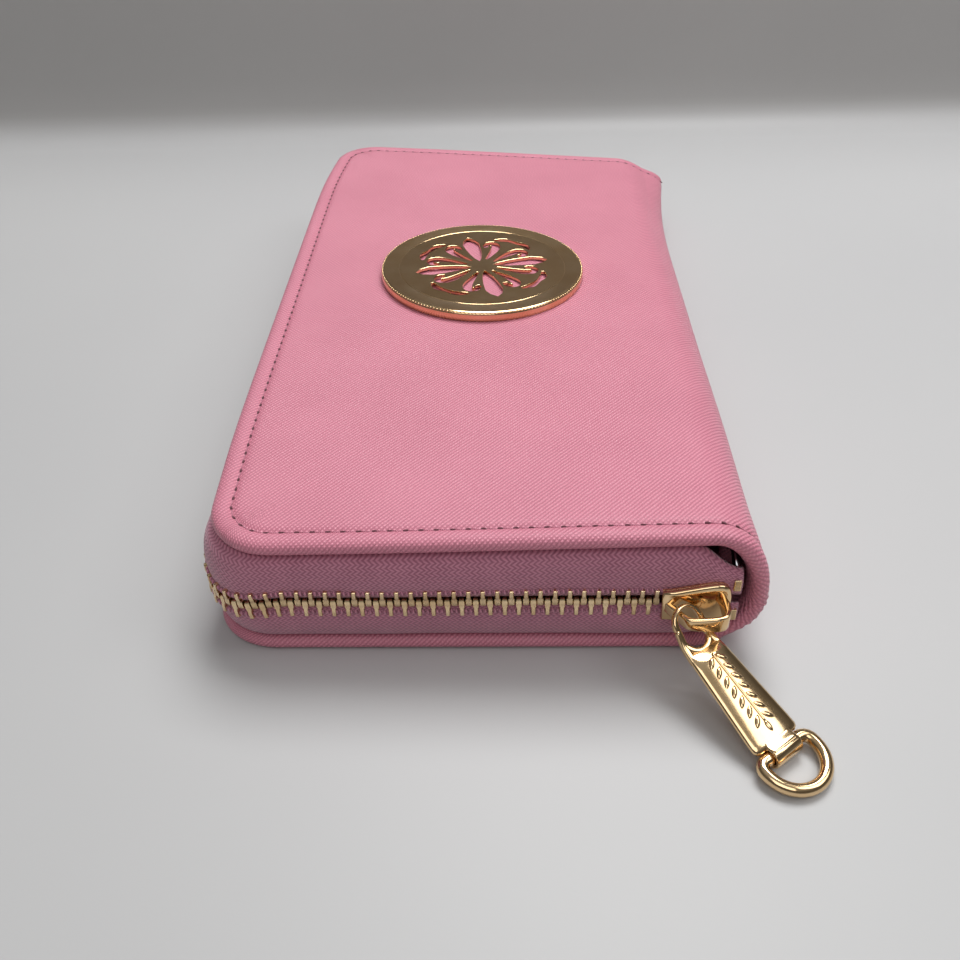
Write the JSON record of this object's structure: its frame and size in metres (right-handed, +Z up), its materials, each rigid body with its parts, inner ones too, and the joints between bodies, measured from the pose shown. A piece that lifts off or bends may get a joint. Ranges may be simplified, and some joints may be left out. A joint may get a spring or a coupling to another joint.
{
  "type": "zip-around wallet",
  "caption": "Long zip-around wallet lying flat: covers hinged at the spine, zip with slider and pull tab, pierced metal medallion, card slots, gussets and coin pocket.",
  "frame": {"origin": "centre of the lower cover's flat outer face, on the surface the wallet rests on", "axes": "+X from the zip side to the spine, +Y away from the end where the closed zip's slider is, +Z up"},
  "size_m": [0.1138, 0.2344, 0.0299],
  "materials": {
    "saffiano_leather": "satin coated leather with a fine cross-hatch grain",
    "lining_leather": "matt smooth coated leather",
    "stiffener_board": "uncoated pressed board",
    "zip_tape": "woven herringbone tape",
    "zip_metal": "antique light gold, brushed",
    "polished_gold": "mirror polished light gold plate",
    "dark_metal": "polished nickel plate"
  },
  "bodies": {
    "lower_half": {"cover_skin_lower": "saffiano_leather", "cover_board_lower": "stiffener_board", "cover_lining_lower": "lining_leather", "slip_pocket_lower": "lining_leather", "card_slot_lower_1": "lining_leather", "card_slot_lower_2": "lining_leather", "card_slot_lower_3": "lining_leather", "card_slot_lower_4": "lining_leather", "zip_tape_lower": "zip_tape", "zip_teeth_lower": "zip_metal", "zip_top_stop_lower": "zip_metal", "zip_bottom_stop": "zip_metal", "gusset_front": "lining_leather", "gusset_back": "lining_leather", "strap_ring_tab": "saffiano_leather"},
    "upper_half": {"cover_skin_upper": "saffiano_leather", "cover_board_upper": "stiffener_board", "cover_lining_upper": "lining_leather", "slip_pocket_upper": "lining_leather", "card_slot_upper_1": "lining_leather", "card_slot_upper_2": "lining_leather", "card_slot_upper_3": "lining_leather", "card_slot_upper_4": "lining_leather", "zip_tape_upper": "zip_tape", "zip_teeth_upper": "zip_metal", "zip_top_stop_upper": "zip_metal", "medallion": "polished_gold"},
    "coin_pocket": {"coin_panel_lower": "lining_leather", "coin_panel_upper": "lining_leather", "coin_zip_tape_outer": "zip_tape", "coin_zip_tape_inner": "zip_tape", "coin_zip_chain": "zip_metal"},
    "slider": {"zip_slider": "polished_gold"},
    "pull": {"pull_tab": "polished_gold"},
    "pull_ring": {"pull_ring": "polished_gold"},
    "strap_ring": {"strap_ring": "dark_metal"},
    "coin_slider": {"coin_zip_slider": "polished_gold"},
    "coin_pull": {"coin_zip_pull": "polished_gold"}
  },
  "joints": [
    {"name": "cover_open", "type": "hinge", "parent": "lower_half", "child": "upper_half", "pos_m": [0.0525, 0, 0.014], "axis": [0, 1, 0], "range_deg": [0, 70], "deforming": ["gusset_front", "gusset_back"]},
    {"name": "coin_pocket_open", "type": "hinge", "parent": "lower_half", "child": "coin_pocket", "pos_m": [0.0525, 0, 0.014], "axis": [0, 1, 0], "range_deg": [0, 35]},
    {"name": "slider_run", "type": "slide", "parent": "lower_half", "child": "slider", "axis": [-1, 0, 0], "range_m": [0, 0.072], "deforming": ["zip_teeth_lower", "zip_teeth_upper"]},
    {"name": "pull_swing", "type": "hinge", "parent": "slider", "child": "pull", "pos_m": [0.03708, -0.10534, 0.014], "axis": [-0.6, 0.8, 0], "range_deg": [-10, 140]},
    {"name": "pull_ring_swing", "type": "hinge", "parent": "pull", "child": "pull_ring", "pos_m": [0.05179, -0.12451, 0.0022], "axis": [-0.7934, -0.6088, 0], "range_deg": [-60, 120]},
    {"name": "strap_ring_swing", "type": "hinge", "parent": "lower_half", "child": "strap_ring", "pos_m": [0.0472, -0.089, 0.015], "axis": [0, 0, 1], "range_deg": [-30, 4]},
    {"name": "coin_slider_run", "type": "slide", "parent": "coin_pocket", "child": "coin_slider", "axis": [0, -1, 0], "range_m": [0, 0.145], "deforming": ["coin_zip_chain"]},
    {"name": "coin_pull_swing", "type": "hinge", "parent": "coin_slider", "child": "coin_pull", "pos_m": [-0.036, 0.07402, 0.018], "axis": [0, 0, 1], "range_deg": [-60, 60]}
  ],
  "couplings": [
    {"joint": "coin_pocket_open", "follows": "cover_open", "ratio": 0.5}
  ]
}
